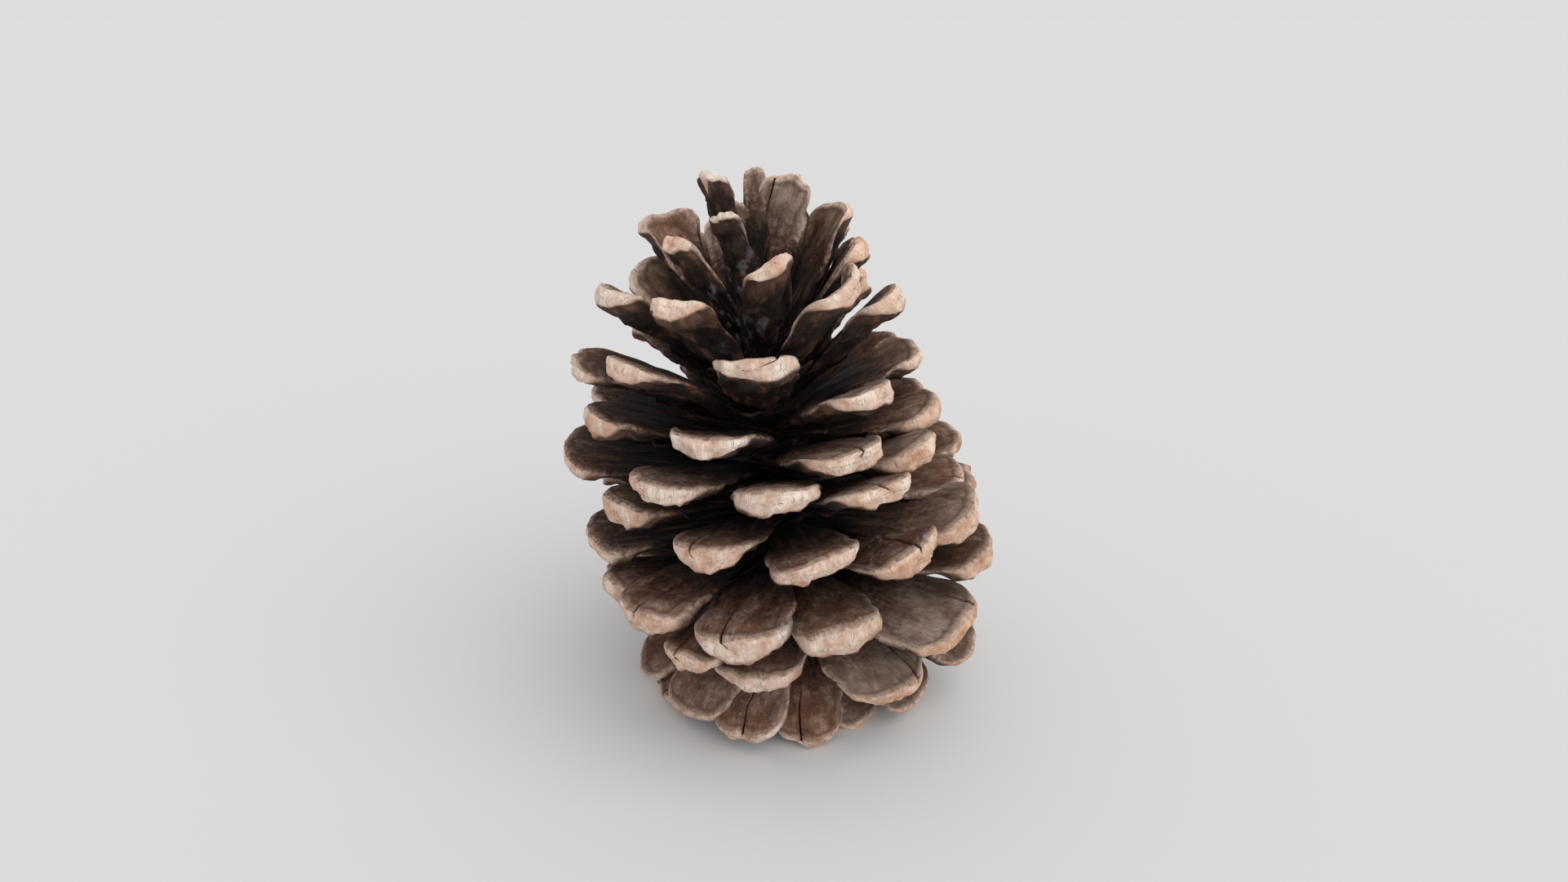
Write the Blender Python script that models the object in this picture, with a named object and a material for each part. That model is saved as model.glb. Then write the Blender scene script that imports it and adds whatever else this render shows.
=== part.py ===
"""An open pine cone that stands on its base.

The cone grew in one piece: a woody axis carries one spiral of scales, each turned by nearly
the golden angle from the one before it. Scales are numbered down the spiral from the tip.
Sizes below are in millimetres and degrees; the model is in metres with +Z up.
"""
import random
from math import atan2, cos, pi, radians, sin

import bmesh
import bpy
from mathutils import Vector

MM = 0.001

# The spiral: scale 54 is the one nearest the middle of the front. The cone leans to its left,
# and the scales at its sides are twisted a little to face the front
LAST_SCALE = 120
TURN_PER_SCALE = 137.63
FRONT_SCALE = 54
FRONT_AZIMUTH = -2.5
LEAN = 6.3
FACE_FRONT = 7.0

# The outline of the cone, read at a few scales on the way down the spiral. Bend is the arch of
# a scale as a share of its length, and cup the rise of its edges as a share of its width
STATIONS = (0, 12, 24, 40, 60, 80, 96, 106, 120)
TIP_HEIGHT = (76.5, 70.0, 64.5, 49.5, 35.0, 21.5, 4.0, -1.0, -2.5)
TIP_RADIUS = (3.5, 12.5, 20.0, 24.0, 26.5, 27.5, 20.0, 13.5, 9.5)
ROOT_HEIGHT = (60.0, 52.0, 46.0, 40.0, 30.0, 21.0, 14.5, 10.5, 7.0)
HALF_WIDTH = (2.4, 3.3, 4.0, 4.9, 5.5, 5.8, 5.4, 4.8, 3.6)
END_THICKNESS = (1.9, 2.2, 2.6, 3.2, 3.8, 4.2, 3.2, 2.6, 2.2)
BEND = (0.03, 0.05, 0.07, 0.08, 0.06, 0.05, 0.08, 0.10, 0.10)
CUP = (0.20, 0.22, 0.19, 0.09, 0.05, 0.02, -0.04, -0.06, -0.06)

# The woody axis, from the stalk scar up: height and radius
AXIS_PROFILE = ((-4.0, 4.2), (5.0, 4.4), (11.0, 5.6), (24.0, 6.0), (42.0, 4.6), (56.0, 3.2), (65.0, 1.2))
AXIS_SIDES = 10
ROOT_SINK = 0.35

# The shape of one scale: its stem's width as a share of the blade's, the shares of its length
# where the stem widens, where the blade is full and where the end swells, and how it is rounded
STEM_SHARE = 0.5
STEM_END = 0.15
BLADE_START = 0.75
END_START = 0.62
STEM_THICKNESS = 2.2
BLADE_THICKNESS = 1.7
END_ROUNDNESS = 0.85
END_POWER = 2.3
ROUNDING_ONSET = 3
EDGE_THINNING = 0.55
END_SLANT = 0.25
UMBO_RISE = 0.6

# How scales differ from one another, strongest at the back of the cone
SEED = 7
SPREAD_TURN = 2.5
SPREAD_LIFT = 0.9
SPREAD_REACH = 0.7
SPREAD_ROLL = 5.0
SPREAD_WIDTH = 0.07

# Scales that stray from the rule, by their number: turned round the axis and rolled about
# their own length, in degrees, raised and reaching out, in millimetres, and how many times as
# wide as the rule says, or as thick at the end
TURNED = {
    2: -6, 3: -14, 14: 10, 20: 14, 25: 9, 33: -7, 38: -4, 41: -4, 46: 7, 54: 5, 59: 3, 62: 4, 67: 3, 80: -3,
    83: 4, 85: 4, 88: -9, 89: -8, 91: 5, 93: 8, 101: -5,
}
ROLLED = {3: 20, 6: 25, 20: 26, 25: 14, 67: 12, 72: 8, 85: 8}
RAISED = {
    2: 1.5, 3: 0.8, 6: 0.5, 7: -0.3, 8: -3.0, 15: 1.8, 20: 1.0, 26: 1.0, 27: -2.0, 28: 3.9, 30: 1.5, 31: -3.5,
    33: 1.2, 35: -4.5, 36: 4.0, 39: -2.0, 40: -1.5, 43: -3.0, 44: 2.5, 48: -1.8, 51: 1.3, 54: 3.0, 56: -5.5,
    57: 0.7, 59: 5.0, 61: -2.5, 62: 1.8, 64: -1.2, 65: -2.0, 67: 2.7, 70: -4.0, 72: 3.2, 75: -2.0, 77: -1.0,
    78: 1.2, 80: 1.0, 83: 1.2, 86: -9.0, 88: 3.3, 89: 2.5, 90: -5.3, 91: -4.0, 93: 1.8, 94: 5.5, 95: 4.8,
    98: -1.6, 99: 1.5,
}
REACHING = {
    13: 1.8, 22: -4.5, 23: 1.8, 26: -4.0, 27: -6.0, 30: -1.5, 31: 2.3, 35: -2.0, 40: -1.5, 43: -1.4, 48: -2.8,
    52: 2.6, 56: -1.0, 57: -1.0, 59: 1.0, 61: 2.0, 64: 2.2, 65: -0.4, 77: 1.8, 78: -1.4, 85: 2.2, 86: -2.6,
    90: 2.5, 91: -2.0, 93: 1.5, 99: 3.0,
}
WIDENED = {
    2: 1.15, 3: 0.55, 6: 1.35, 7: 0.65, 8: 0.6, 13: 1.28, 14: 1.2, 15: 0.6, 20: 0.9, 25: 1.2, 28: 0.9,
    83: 0.75, 85: 1.12, 93: 1.1,
}
THICKENED = {
    7: 0.6, 15: 1.1, 20: 0.8, 28: 0.8, 36: 0.85, 38: 0.8, 41: 0.85, 46: 0.75, 49: 0.85, 54: 0.8, 59: 0.75,
    62: 0.75, 67: 0.75, 72: 0.85, 80: 1.25, 83: 0.75, 86: 0.8, 88: 0.85, 91: 0.8,
}

# Small scales near the tip that broke off
BROKEN_OFF = (0, 1, 4, 5, 9, 10, 12, 17, 18)

# The block that cuts the base flat, and the distance below which points are one
GROUND_SIZE = 200.0
WELD = 0.002

# Dry wood
WOOD_COLOUR = (0.20, 0.13, 0.09, 1.0)
WOOD_ROUGHNESS = 0.8

# Rings of points for one scale: places across its top and its underside, then along it
TOP_PLACES = (-1.0, -0.6, 0.0, 0.6, 1.0)
UNDER_PLACES = (0.78, 0.0, -0.78)
ALONG_PLACES = (0.0, 0.42, 0.78, 1.0)


def clear_scene():
    for thing in list(bpy.data.objects):
        bpy.data.objects.remove(thing, do_unlink=True)


def read_profile(values, number):
    """Smooth curve through the stations, with each slope taken from the two neighbours."""
    last = len(STATIONS) - 1
    left = max(i for i in range(last) if STATIONS[i] <= number)
    right = left + 1
    before = max(left - 1, 0)
    after = min(right + 1, last)
    span = STATIONS[right] - STATIONS[left]
    slope_left = (values[right] - values[before]) / (STATIONS[right] - STATIONS[before])
    slope_right = (values[after] - values[left]) / (STATIONS[after] - STATIONS[left])
    t = (number - STATIONS[left]) / span
    stay_left = (1 + 2 * t) * (1 - t) ** 2
    stay_right = t * t * (3 - 2 * t)
    leave_left = t * (1 - t) ** 2 * span * slope_left
    leave_right = t * t * (t - 1) * span * slope_right
    return stay_left * values[left] + stay_right * values[right] + leave_left + leave_right


def smooth(edge_low, edge_high, value):
    t = min(max((value - edge_low) / (edge_high - edge_low), 0.0), 1.0)
    return t * t * (3 - 2 * t)


def describe_scale(number):
    """Everything that makes one scale: where it grows, how far it reaches, how it is shaped."""
    draw = random.Random(SEED + number)
    azimuth = radians(FRONT_AZIMUTH - TURN_PER_SCALE * (number - FRONT_SCALE))
    backness = (1 - cos(azimuth)) / 2
    turn = TURNED.get(number, 0) + draw.uniform(-1, 1) * SPREAD_TURN * backness
    lift = RAISED.get(number, 0) + draw.uniform(-1, 1) * SPREAD_LIFT * backness
    reach = REACHING.get(number, 0) + draw.uniform(-1, 1) * SPREAD_REACH * backness
    roll = ROLLED.get(number, 0) + draw.uniform(-1, 1) * SPREAD_ROLL
    wide = WIDENED.get(number, 1) * (1 + draw.uniform(-1, 1) * SPREAD_WIDTH)
    return {
        "azimuth": azimuth + radians(turn),
        "roll": radians(roll + FACE_FRONT * sin(azimuth)),
        "tip_height": read_profile(TIP_HEIGHT, number) + lift,
        "tip_radius": read_profile(TIP_RADIUS, number) + reach,
        "root_height": read_profile(ROOT_HEIGHT, number),
        "half_width": read_profile(HALF_WIDTH, number) * wide,
        "end_thickness": read_profile(END_THICKNESS, number) * THICKENED.get(number, 1),
        "bend": read_profile(BEND, number),
        "cup": read_profile(CUP, number),
    }


def axis_radius(height):
    for (low, radius_low), (high, radius_high) in zip(AXIS_PROFILE, AXIS_PROFILE[1:]):
        if height <= high:
            share = (height - low) / (high - low)
            return radius_low + share * (radius_high - radius_low)
    return AXIS_PROFILE[-1][1]


def lean_over(point):
    """Tips the upright cone to its left, about the stalk scar."""
    angle = radians(LEAN)
    return Vector((
        point.x * cos(angle) - point.z * sin(angle),
        point.y,
        point.x * sin(angle) + point.z * cos(angle),
    ))


def centre_line(scale, share):
    """Radius, height and pitch of the scale's middle at a share of its length."""
    root = Vector((axis_radius(scale["root_height"]) * ROOT_SINK, scale["root_height"]))
    tip = Vector((scale["tip_radius"], scale["tip_height"]))
    chord = tip - root
    above = Vector((-chord.y, chord.x))
    knee = root + chord * 0.5 + above * scale["bend"]
    place = root * (1 - share) ** 2 + knee * 2 * share * (1 - share) + tip * share ** 2
    heading = (knee - root) * (1 - share) + (tip - knee) * share
    return place, atan2(heading.y, heading.x)


def scale_point(scale, share, across, side):
    """A point of the scale's skin. side is 1 on the upper face and -1 on the underside."""
    middle, pitch = centre_line(scale, share)
    spread = smooth(STEM_END, BLADE_START, share)
    half_width = scale["half_width"] * (STEM_SHARE + (1 - STEM_SHARE) * spread)
    swell = smooth(END_START, 1.0, share)
    body = STEM_THICKNESS + (BLADE_THICKNESS - STEM_THICKNESS) * spread
    thickness = body + (scale["end_thickness"] - body) * swell
    thickness *= 1 - EDGE_THINNING * across ** 2
    rounding = 1 - (1 - abs(across) ** END_POWER) ** (1 / END_POWER)
    set_back = scale["half_width"] * END_ROUNDNESS * rounding * share ** ROUNDING_ONSET
    if side < 0:
        set_back += thickness * END_SLANT * swell
    up = side * thickness / 2 + scale["cup"] * half_width * across ** 2 * spread
    sideways = across * half_width
    roll = scale["roll"] * share
    rolled_up = up * cos(roll) + sideways * sin(roll)
    rolled_sideways = sideways * cos(roll) - up * sin(roll)
    radius = middle.x - set_back * cos(pitch) - rolled_up * sin(pitch)
    height = middle.y - set_back * sin(pitch) + rolled_up * cos(pitch)
    return place_round_axis(scale["azimuth"], radius, rolled_sideways, height)


def place_round_axis(azimuth, radius, sideways, height):
    """Azimuth 0 faces the front, -Y; a growing azimuth turns towards +X."""
    outward = Vector((sin(azimuth), -cos(azimuth), 0.0))
    along = Vector((cos(azimuth), sin(azimuth), 0.0))
    return lean_over(outward * radius + along * sideways + Vector((0.0, 0.0, height))) * MM


def umbo_point(scale):
    """The small knob in the middle of the end face."""
    middle, pitch = centre_line(scale, 1.0)
    radius = middle.x + UMBO_RISE * cos(pitch)
    height = middle.y + UMBO_RISE * sin(pitch)
    return place_round_axis(scale["azimuth"], radius, 0.0, height)


def add_solid(name, points, faces):
    mesh = bpy.data.meshes.new(name)
    mesh.from_pydata(points, [], faces)
    solid = bpy.data.objects.new(name, mesh)
    bpy.context.scene.collection.objects.link(solid)
    return solid


def build_scale(number):
    """One scale, lofted through rings of points from its root to its end face."""
    scale = describe_scale(number)
    ring_places = [(across, 1) for across in TOP_PLACES] + [(across, -1) for across in UNDER_PLACES]
    around = len(ring_places)
    points = []
    for share in ALONG_PLACES:
        points += [scale_point(scale, share, across, side) for across, side in ring_places]
    faces = [tuple(range(around))]
    for ring in range(len(ALONG_PLACES) - 1):
        for i in range(around):
            a = ring * around + i
            b = ring * around + (i + 1) % around
            faces.append((a, a + around, b + around))
            faces.append((a, b + around, b))
    last_ring = (len(ALONG_PLACES) - 1) * around
    knob = len(points)
    points.append(umbo_point(scale))
    for i in range(around):
        faces.append((last_ring + i, knob, last_ring + (i + 1) % around))
    return add_solid("scale_%03d" % number, points, faces)


def build_axis():
    """The woody core, turned from its profile."""
    points = []
    for height, radius in AXIS_PROFILE:
        for i in range(AXIS_SIDES):
            angle = 2 * pi * i / AXIS_SIDES
            points.append(lean_over(Vector((radius * cos(angle), radius * sin(angle), height))) * MM)
    faces = [tuple(reversed(range(AXIS_SIDES)))]
    for ring in range(len(AXIS_PROFILE) - 1):
        for i in range(AXIS_SIDES):
            a = ring * AXIS_SIDES + i
            b = ring * AXIS_SIDES + (i + 1) % AXIS_SIDES
            faces.append((a, b, b + AXIS_SIDES, a + AXIS_SIDES))
    top = (len(AXIS_PROFILE) - 1) * AXIS_SIDES
    faces.append(tuple(range(top, top + AXIS_SIDES)))
    return add_solid("pine_cone", points, faces)


def join_all(body, pieces, operation):
    """One Boolean of the body with a collection of pieces, applied; the pieces then go."""
    group = bpy.data.collections.new("pieces")
    bpy.context.scene.collection.children.link(group)
    for piece in pieces:
        bpy.context.scene.collection.objects.unlink(piece)
        group.objects.link(piece)
    joint = body.modifiers.new("join", "BOOLEAN")
    joint.operand_type = "COLLECTION"
    joint.collection = group
    joint.operation = operation
    joint.solver = "EXACT"
    evaluated = body.evaluated_get(bpy.context.evaluated_depsgraph_get())
    joined = bpy.data.meshes.new_from_object(evaluated)
    body.modifiers.clear()
    body.data = joined
    for piece in list(group.objects):
        bpy.data.objects.remove(piece, do_unlink=True)
    bpy.data.collections.remove(group)


def build_ground():
    """A block under the cone, to cut the stalk scar and the lowest scales flat."""
    side = GROUND_SIZE / 2
    points = [Vector((x, y, z)) * MM for z in (-GROUND_SIZE, 0.0) for x, y in
              ((-side, -side), (side, -side), (side, side), (-side, side))]
    faces = [(3, 2, 1, 0), (4, 5, 6, 7), (0, 1, 5, 4), (1, 2, 6, 5), (2, 3, 7, 6), (3, 0, 4, 7)]
    return add_solid("ground", points, faces)


def keep_outer_body(solid):
    """Fills the hollows that joining sealed and drops loose scraps: one closed body stays."""
    shape = bmesh.new()
    shape.from_mesh(solid.data)
    bmesh.ops.remove_doubles(shape, verts=shape.verts, dist=WELD * MM)
    bmesh.ops.dissolve_degenerate(shape, edges=shape.edges, dist=WELD * MM)
    bmesh.ops.triangulate(shape, faces=shape.faces)
    unseen = set(shape.verts)
    groups = []
    while unseen:
        start = unseen.pop()
        group = [start]
        for vert in group:
            for edge in vert.link_edges:
                other = edge.other_vert(vert)
                if other in unseen:
                    unseen.remove(other)
                    group.append(other)
        groups.append(group)
    groups.sort(key=len)
    for group in groups[:-1]:
        bmesh.ops.delete(shape, geom=group, context="VERTS")
    shape.to_mesh(solid.data)
    shape.free()


def paint_wood(solid):
    wood = bpy.data.materials.new("weathered_scale_wood")
    wood.use_nodes = True
    shader = wood.node_tree.nodes["Principled BSDF"]
    shader.inputs["Base Color"].default_value = WOOD_COLOUR
    shader.inputs["Roughness"].default_value = WOOD_ROUGHNESS
    shader.inputs["Metallic"].default_value = 0.0
    solid.data.materials.clear()
    solid.data.materials.append(wood)


def build_cone():
    """Axis and scales, fused, trimmed flat below and coloured."""
    cone = build_axis()
    numbers = [number for number in range(LAST_SCALE + 1) if number not in BROKEN_OFF]
    join_all(cone, [build_scale(number) for number in numbers], "UNION")
    join_all(cone, [build_ground()], "DIFFERENCE")
    keep_outer_body(cone)
    paint_wood(cone)


clear_scene()
build_cone()
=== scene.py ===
# %% [markdown]
# # A dry pine cone, from its rule of growth to its weathered wood
#
# This lesson dresses a pine cone whose solid model already exists. The solid is coarse: it gives
# the size, the lean and the place of every scale. Here each scale is grown again from the same
# rule, with a fine skin, cracks, worn rims and a wood finish made of nodes. Lengths are in
# millimetres until the meshes are made.

# %% Load the solid model
import random
from math import cos, pi, radians, sin

import bmesh
import bpy
import numpy as np
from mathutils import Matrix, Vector


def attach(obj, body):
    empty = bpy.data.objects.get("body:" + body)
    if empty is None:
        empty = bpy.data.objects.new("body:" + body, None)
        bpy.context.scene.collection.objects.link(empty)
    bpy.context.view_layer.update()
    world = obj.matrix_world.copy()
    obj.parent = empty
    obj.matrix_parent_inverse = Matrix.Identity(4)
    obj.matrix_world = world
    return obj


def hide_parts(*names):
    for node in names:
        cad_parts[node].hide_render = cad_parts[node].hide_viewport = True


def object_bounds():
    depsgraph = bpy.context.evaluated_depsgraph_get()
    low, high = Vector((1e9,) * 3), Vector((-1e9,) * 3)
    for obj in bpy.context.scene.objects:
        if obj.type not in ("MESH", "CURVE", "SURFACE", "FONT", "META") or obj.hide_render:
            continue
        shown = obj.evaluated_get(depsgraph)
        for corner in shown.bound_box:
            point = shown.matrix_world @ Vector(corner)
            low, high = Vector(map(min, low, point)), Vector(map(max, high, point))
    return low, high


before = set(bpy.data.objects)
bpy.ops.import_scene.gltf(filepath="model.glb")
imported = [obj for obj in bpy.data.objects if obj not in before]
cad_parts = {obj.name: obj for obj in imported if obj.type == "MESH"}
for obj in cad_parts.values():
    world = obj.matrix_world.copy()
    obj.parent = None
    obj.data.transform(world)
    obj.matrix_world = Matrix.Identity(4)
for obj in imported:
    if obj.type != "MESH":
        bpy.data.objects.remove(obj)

MM = 0.001
solid_low, solid_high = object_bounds()
print("the solid cone spans", [round(v / MM, 1) for v in solid_high - solid_low], "mm")

# %% [markdown]
# ## The camera
#
# The photograph looks down on the cone by a little over 20 degrees, from about 15 cm away, with
# a fairly wide lens. A camera could be placed by eye, but the places of fifty scale ends in the
# photograph fix it better: they only fit the spiral from one distance, height and angle.
# The camera is made first, because everything after it is judged through it.

# %% Place the camera
CAMERA_TARGET = (-2.7, 0.0, 39.1)
CAMERA_ELEVATION = 22.5
CAMERA_DISTANCE = 147.3
CAMERA_LENS = 24.44
SENSOR_WIDTH = 36.0
NEAREST, FARTHEST = 0.01, 50.0


def place_camera():
    target = Vector(CAMERA_TARGET) * MM
    angle = radians(CAMERA_ELEVATION)
    back = Vector((0.0, -cos(angle), sin(angle)))
    data = bpy.data.cameras.new("camera")
    data.lens = CAMERA_LENS
    data.sensor_width = SENSOR_WIDTH
    data.clip_start = NEAREST
    data.clip_end = FARTHEST
    camera = bpy.data.objects.new("camera", data)
    camera.location = target + back * CAMERA_DISTANCE * MM
    camera.rotation_euler = back.to_track_quat("Z", "Y").to_euler()
    bpy.context.scene.collection.objects.link(camera)
    bpy.context.scene.camera = camera
    return camera


camera = place_camera()
print("camera at", [round(v / MM) for v in camera.location], "mm")

# %% [markdown]
# ## The rule of growth
#
# A cone adds its scales one at a time, each turned by nearly the golden angle from the last. That
# one habit makes all the spirals that the eye sees. The scales could be placed one by one by hand,
# but the rule is truer and much shorter: a scale's number gives its direction, and smooth curves
# down the cone give its height, reach, width and thickness. Scale 0 is at the tip. Scales at the
# sides also roll a few degrees to face the front. The numbers are those of the solid model.

# %% Write down the rule of growth
LAST_SCALE = 120
TURN_PER_SCALE = 137.63
FRONT_SCALE = 54
FRONT_AZIMUTH = -2.5
LEAN = 6.3
FACE_FRONT = 7.0

STATIONS = (0, 12, 24, 40, 60, 80, 96, 106, 120)
TIP_HEIGHT = (76.5, 70.0, 64.5, 49.5, 35.0, 21.5, 4.0, -1.0, -2.5)
TIP_RADIUS = (3.5, 12.5, 20.0, 24.0, 26.5, 27.5, 20.0, 13.5, 9.5)
ROOT_HEIGHT = (60.0, 52.0, 46.0, 40.0, 30.0, 21.0, 14.5, 10.5, 7.0)
HALF_WIDTH = (2.4, 3.3, 4.0, 4.9, 5.5, 5.8, 5.4, 4.8, 3.6)
END_THICKNESS = (1.9, 2.2, 2.6, 3.2, 3.8, 4.2, 3.2, 2.6, 2.2)
BEND = (0.03, 0.05, 0.07, 0.08, 0.06, 0.05, 0.08, 0.10, 0.10)
CUP = (0.20, 0.22, 0.19, 0.09, 0.05, 0.02, -0.04, -0.06, -0.06)

AXIS_PROFILE = ((-4.0, 4.2), (5.0, 4.4), (11.0, 5.6), (24.0, 6.0), (42.0, 4.6), (56.0, 3.2), (65.0, 1.2))
ROOT_SINK = 0.35

print("the curves are read at", len(STATIONS), "stations down the cone")

# %% [markdown]
# ## Scales that stray
#
# No real cone keeps to its rule everywhere: a neighbour pushes, a scale dries askew, a tip breaks
# off. The strays could be left out, but then the cone would look printed. So the scales that the
# photograph shows, and a few behind them, are listed by number: the degrees that they turn and
# roll, the millimetres that they rise and reach, and how many times as wide, or as thick at the
# end, they are. On the far side scales turn, rise and reach by small random amounts instead, and
# roll and width vary a little everywhere.

# %% List the strays
SEED = 7
SPREAD_TURN = 2.5
SPREAD_LIFT = 0.9
SPREAD_REACH = 0.7
SPREAD_ROLL = 5.0
SPREAD_WIDTH = 0.07

TURNED = {
    2: -6, 3: -14, 14: 10, 20: 14, 25: 9, 33: -7, 38: -4, 41: -4, 46: 7, 54: 5, 59: 3, 62: 4, 67: 3, 80: -3,
    83: 4, 85: 4, 88: -9, 89: -8, 91: 5, 93: 8, 101: -5,
}
ROLLED = {3: 20, 6: 25, 20: 26, 25: 14, 67: 12, 72: 8, 85: 8}
RAISED = {
    2: 1.5, 3: 0.8, 6: 0.5, 7: -0.3, 8: -3.0, 15: 1.8, 20: 1.0, 26: 1.0, 27: -2.0, 28: 3.9, 30: 1.5,
    31: -3.5, 33: 1.2, 35: -4.5, 36: 4.0, 39: -2.0, 40: -1.5, 43: -3.0, 44: 2.5, 48: -1.8, 51: 1.3,
    54: 3.0, 56: -5.5, 57: 0.7, 59: 5.0, 61: -2.5, 62: 1.8, 64: -1.2, 65: -2.0, 67: 2.7, 70: -4.0,
    72: 3.2, 75: -2.0, 77: -1.0, 78: 1.2, 80: 1.0, 83: 1.2, 86: -9.0, 88: 3.3, 89: 2.5, 90: -5.3,
    91: -4.0, 93: 1.8, 94: 5.5, 95: 4.8, 98: -1.6, 99: 1.5,
}
REACHING = {
    13: 1.8, 22: -4.5, 23: 1.8, 26: -4.0, 27: -6.0, 30: -1.5, 31: 2.3, 35: -2.0, 40: -1.5, 43: -1.4,
    48: -2.8, 52: 2.6, 56: -1.0, 57: -1.0, 59: 1.0, 61: 2.0, 64: 2.2, 65: -0.4, 77: 1.8, 78: -1.4,
    85: 2.2, 86: -2.6, 90: 2.5, 91: -2.0, 93: 1.5, 99: 3.0,
}
WIDENED = {
    2: 1.15, 3: 0.55, 6: 1.35, 7: 0.65, 8: 0.6, 13: 1.28, 14: 1.2, 15: 0.6, 20: 0.9, 25: 1.2, 28: 0.9,
    83: 0.75, 85: 1.12, 93: 1.1,
}
THICKENED = {
    7: 0.6, 15: 1.1, 20: 0.8, 28: 0.8, 36: 0.85, 38: 0.8, 41: 0.85, 46: 0.75, 49: 0.85, 54: 0.8, 59: 0.75,
    62: 0.75, 67: 0.75, 72: 0.85, 80: 1.25, 83: 0.75, 86: 0.8, 88: 0.85, 91: 0.8,
}
BROKEN_OFF = (0, 1, 4, 5, 9, 10, 12, 17, 18)

print(len(RAISED), "scales stand higher or lower than the rule says")

# %% [markdown]
# ## Reading the rule for one scale
#
# The curves are known only at a few stations. Straight lines between them would put kinks into the
# cone's outline, so each stretch is a smooth curve that leaves one station with the slope that the
# stretch before arrived with. One function then gathers all that shapes a scale.

# %% Read the rule
def read_profile(values, number):
    """Smooth curve through the stations, with each slope taken from the two neighbours."""
    last = len(STATIONS) - 1
    left = max(i for i in range(last) if STATIONS[i] <= number)
    right = left + 1
    before = max(left - 1, 0)
    after = min(right + 1, last)
    span = STATIONS[right] - STATIONS[left]
    slope_left = (values[right] - values[before]) / (STATIONS[right] - STATIONS[before])
    slope_right = (values[after] - values[left]) / (STATIONS[after] - STATIONS[left])
    t = (number - STATIONS[left]) / span
    stay_left = (1 + 2 * t) * (1 - t) ** 2
    stay_right = t * t * (3 - 2 * t)
    leave_left = t * (1 - t) ** 2 * span * slope_left
    leave_right = t * t * (t - 1) * span * slope_right
    return stay_left * values[left] + stay_right * values[right] + leave_left + leave_right


def axis_radius(height):
    heights, radii = zip(*AXIS_PROFILE)
    return float(np.interp(height, heights, radii))


def describe_scale(number):
    """Everything that makes one scale: where it grows, how far it reaches, how it is shaped."""
    draw = random.Random(SEED + number)
    azimuth = radians(FRONT_AZIMUTH - TURN_PER_SCALE * (number - FRONT_SCALE))
    backness = (1 - cos(azimuth)) / 2
    turn = TURNED.get(number, 0) + draw.uniform(-1, 1) * SPREAD_TURN * backness
    lift = RAISED.get(number, 0) + draw.uniform(-1, 1) * SPREAD_LIFT * backness
    reach = REACHING.get(number, 0) + draw.uniform(-1, 1) * SPREAD_REACH * backness
    roll = ROLLED.get(number, 0) + draw.uniform(-1, 1) * SPREAD_ROLL
    wide = WIDENED.get(number, 1) * (1 + draw.uniform(-1, 1) * SPREAD_WIDTH)
    return {
        "number": number,
        "azimuth": azimuth + radians(turn),
        "roll": radians(roll + FACE_FRONT * sin(azimuth)),
        "tip_height": read_profile(TIP_HEIGHT, number) + lift,
        "tip_radius": read_profile(TIP_RADIUS, number) + reach,
        "root_height": read_profile(ROOT_HEIGHT, number),
        "half_width": read_profile(HALF_WIDTH, number) * wide,
        "end_thickness": read_profile(END_THICKNESS, number) * THICKENED.get(number, 1),
        "bend": read_profile(BEND, number),
        "cup": read_profile(CUP, number),
    }


grown = [number for number in range(LAST_SCALE + 1) if number not in BROKEN_OFF]
print("the rule grows", len(grown), "scales")

# %% [markdown]
# ## A repeatable unevenness
#
# Nothing on a cone is even, so most shapes below are bent by a smooth random field. Blender's own
# noise would do, but it answers one point at a time. This small version answers whole arrays of
# points at once: each corner of a grid of cells gets a fixed number made by mixing its whole
# coordinates, and the eight corners round a point are blended. The same point always gets the
# same answer, so the cone comes out the same each time.

# %% Make the random field
MIX_X, MIX_Y, MIX_Z, MIX_ID, MIX_LAST = 374761393, 668265263, 2246822519, 3266489917, 1274126177
WORD_BITS = 0xFFFFFFFF
LOW_BITS = 0xFFFF
FIELDS = {
    "outline": 0, "edge": 50, "fibre": 100, "thread": 150, "wave": 200, "lump": 250, "fold": 270,
    "swelling": 300, "rib": 400, "grit": 450, "dent": 480, "belly": 500, "wander": 600,
    "bract edge": 700, "bract wave": 750, "corner": 900, "nick": 950,
}


def corner_value(x, y, z, field):
    """A fixed number from -1 to 1 for each cell corner."""
    mixed = (x * MIX_X + y * MIX_Y + z * MIX_Z + field * MIX_ID) & WORD_BITS
    mixed = ((mixed ^ (mixed >> 13)) * MIX_LAST) & WORD_BITS
    return ((mixed ^ (mixed >> 16)) & LOW_BITS) / LOW_BITS * 2 - 1


def unevenness(x, y, z, field=0):
    """A smooth random field from -1 to 1, one cell wide per unit."""
    x, y, z = np.broadcast_arrays(x, y, z)
    whole = [np.floor(v).astype(np.int64) for v in (x, y, z)]
    share = [v - w for v, w in zip((x, y, z), whole)]
    blend = [v * v * (3 - 2 * v) for v in share]
    total = np.zeros(x.shape)
    for i in (0, 1):
        for j in (0, 1):
            for k in (0, 1):
                weight = (blend[0] if i else 1 - blend[0]) * (blend[1] if j else 1 - blend[1])
                weight = weight * (blend[2] if k else 1 - blend[2])
                total += weight * corner_value(whole[0] + i, whole[1] + j, whole[2] + k, field)
    return total


def scale_field(number, kind, x, y, z):
    """One of a scale's own random fields, a different one for each kind of mark."""
    return unevenness(x, y, z, number + FIELDS[kind])


def smooth(low, high, value):
    """0 below low, 1 above high, and an even S-curve between."""
    t = np.clip((value - low) / (high - low), 0.0, 1.0)
    return t * t * (3 - 2 * t)


def ridge(distance, width):
    """A round bump of height 1 that fades over the width."""
    return np.exp(-(distance / width) ** 2)


print("unevenness at one point:", round(float(unevenness(0.3, 1.7, 2.2)), 3))

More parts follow.
